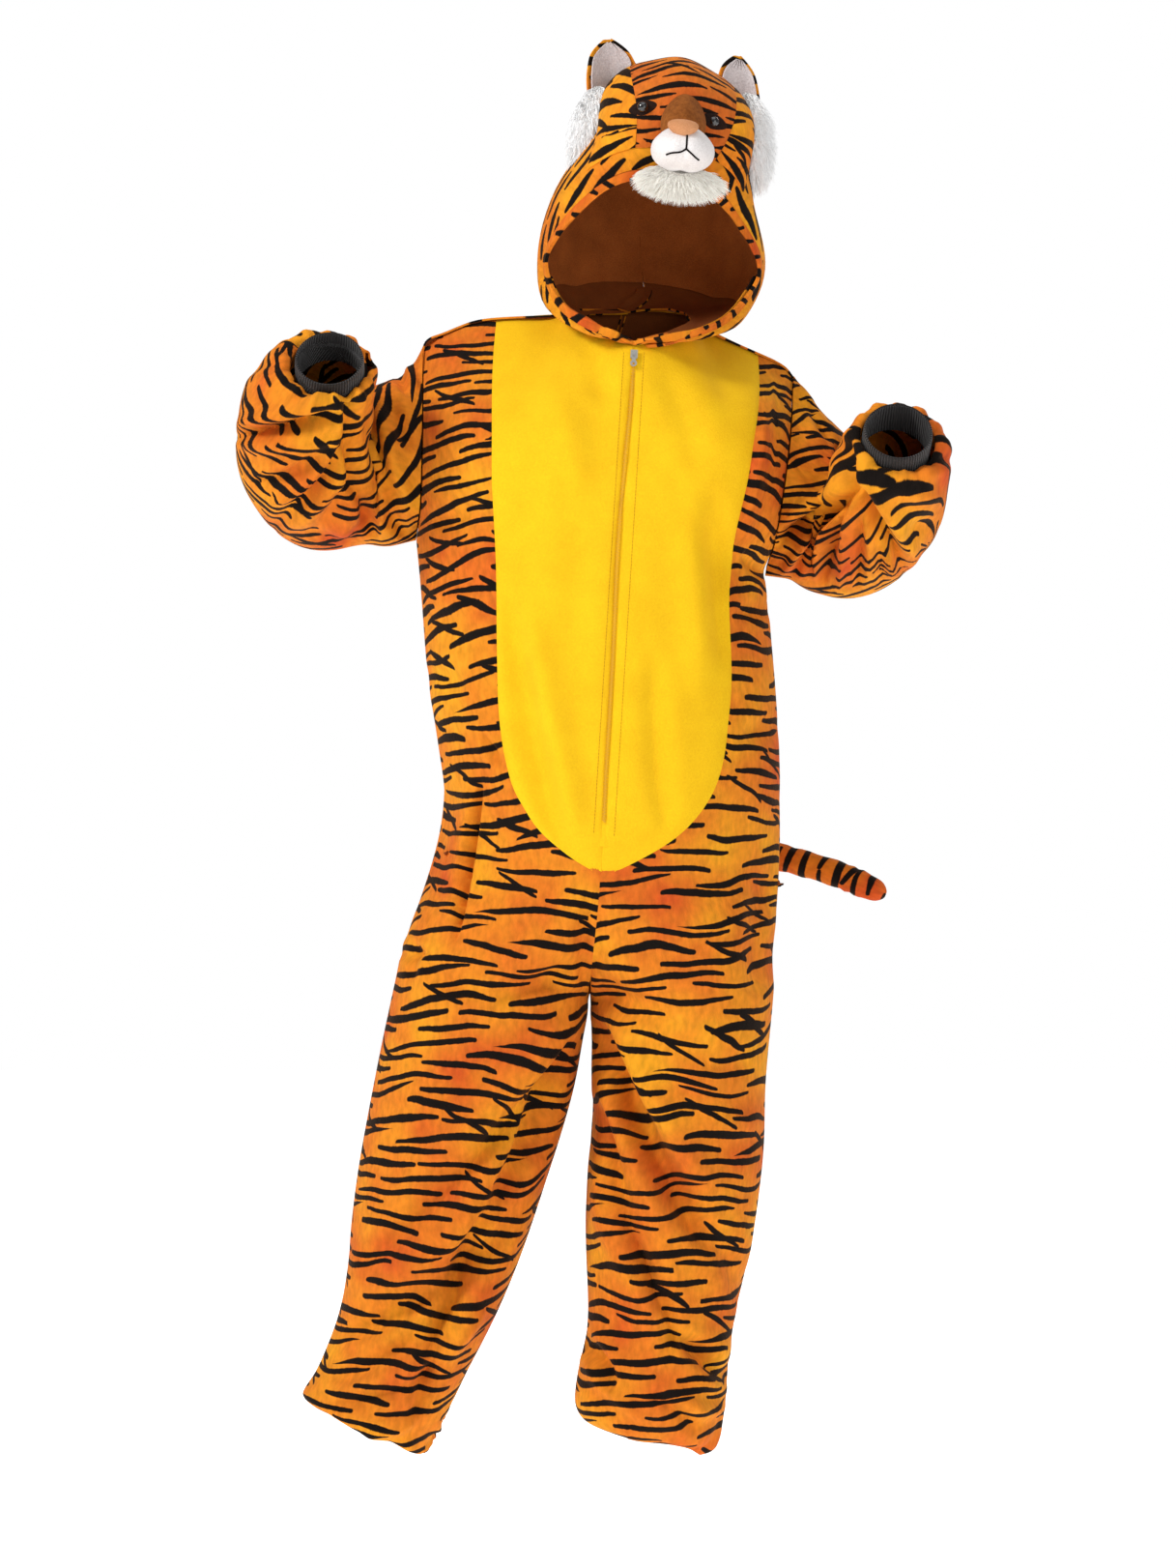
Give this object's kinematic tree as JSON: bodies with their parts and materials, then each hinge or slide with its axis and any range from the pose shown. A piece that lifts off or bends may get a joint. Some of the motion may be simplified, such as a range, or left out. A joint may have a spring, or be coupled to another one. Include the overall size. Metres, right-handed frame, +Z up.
{
  "type": "hooded tiger costume jumpsuit",
  "caption": "Adult plush tiger jumpsuit with a hood shaped as the animal's head, puffed sleeves, a zip front and a stuffed tail, filled out as worn.",
  "frame": {"origin": "between the shoulders, where the wearer holds the garment up", "axes": "+Z up, -Y out of the garment's front, +X towards the wearer's left"},
  "size_m": [0.8734, 0.4186, 1.748],
  "materials": {
    "tiger_plush": "short plush pile, printed stripes",
    "belly_fleece": "brushed fleece",
    "black_rib": "rib knit",
    "brown_lining": "brushed fleece",
    "white_plush": "short plush pile",
    "white_fur": "long pile fur",
    "brown_pile": "short plush pile",
    "tan_nose": "short plush pile",
    "black_eye": "polished",
    "zip_metal": "satin",
    "zip_tape": "woven tape"
  },
  "bodies": {
    "garment": {"front_right": "tiger_plush", "front_left": "tiger_plush", "back_right": "tiger_plush", "back_left": "tiger_plush", "belly_right": "belly_fleece", "belly_left": "belly_fleece", "sleeve_right": "tiger_plush", "sleeve_left": "tiger_plush", "cuff_right": "black_rib", "cuff_left": "black_rib", "hood_right": "tiger_plush", "hood_left": "tiger_plush", "hood_band": "tiger_plush", "hood_lining": "brown_lining", "face_centre": "tiger_plush", "face_right": "tiger_plush", "face_left": "tiger_plush", "muzzle": "white_plush", "nose_bridge": "brown_pile", "nose": "tan_nose", "chin_fur": "white_fur", "eye_right": "black_eye", "eye_left": "black_eye", "ear_right": "tiger_plush", "ear_left": "tiger_plush", "ear_lining_right": "white_plush", "ear_lining_left": "white_plush", "ruff_right": "white_fur", "ruff_left": "white_fur", "tail": "tiger_plush", "zip_tape": "zip_tape", "zip_chain": "zip_metal", "zip_slider": "zip_metal"},
    "pull_tab": {"zip_pull": "zip_metal"}
  },
  "joints": [
    {"name": "pull_swing", "type": "hinge", "parent": "garment", "child": "pull_tab", "pos_m": [0.00633, -0.10323, -0.0341], "axis": [-0.9978, 0, 0.0663], "range_deg": [0, 150]}
  ]
}
